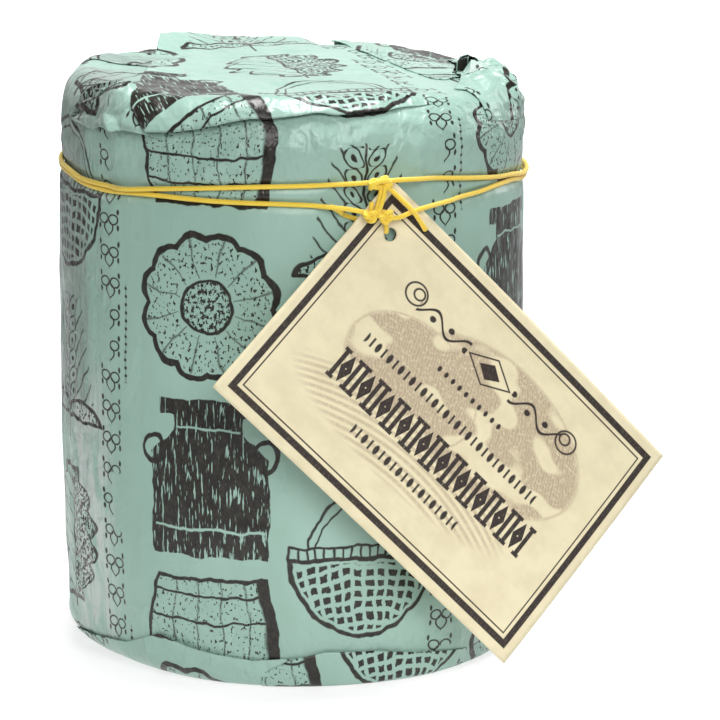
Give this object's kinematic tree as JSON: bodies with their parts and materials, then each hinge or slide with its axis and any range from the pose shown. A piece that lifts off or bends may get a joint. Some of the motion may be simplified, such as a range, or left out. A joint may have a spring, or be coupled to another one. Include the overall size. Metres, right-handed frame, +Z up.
{
  "type": "paper-wrapped cheese truckle",
  "caption": "Upright drum of cheese shut in folded glossy printed paper, tied round with thin elastic cord that holds a bordered swing tag.",
  "frame": {"origin": "middle of the flat foot, on the surface that the truckle stands on", "axes": "+Z up along the drum's axis, -Y towards the shown front, +X to its right"},
  "size_m": [0.1627, 0.1446, 0.1572],
  "materials": {
    "wrap_paper": "glossy waxed paper, mint green with a dark brown print",
    "cord_elastic": "braided yellow elastic",
    "tag_card": "matt cream card with printed borders"
  },
  "bodies": {
    "root": {"paper_wrap": "wrap_paper", "elastic_cord": "cord_elastic", "swing_tag": "tag_card"}
  },
  "joints": []
}
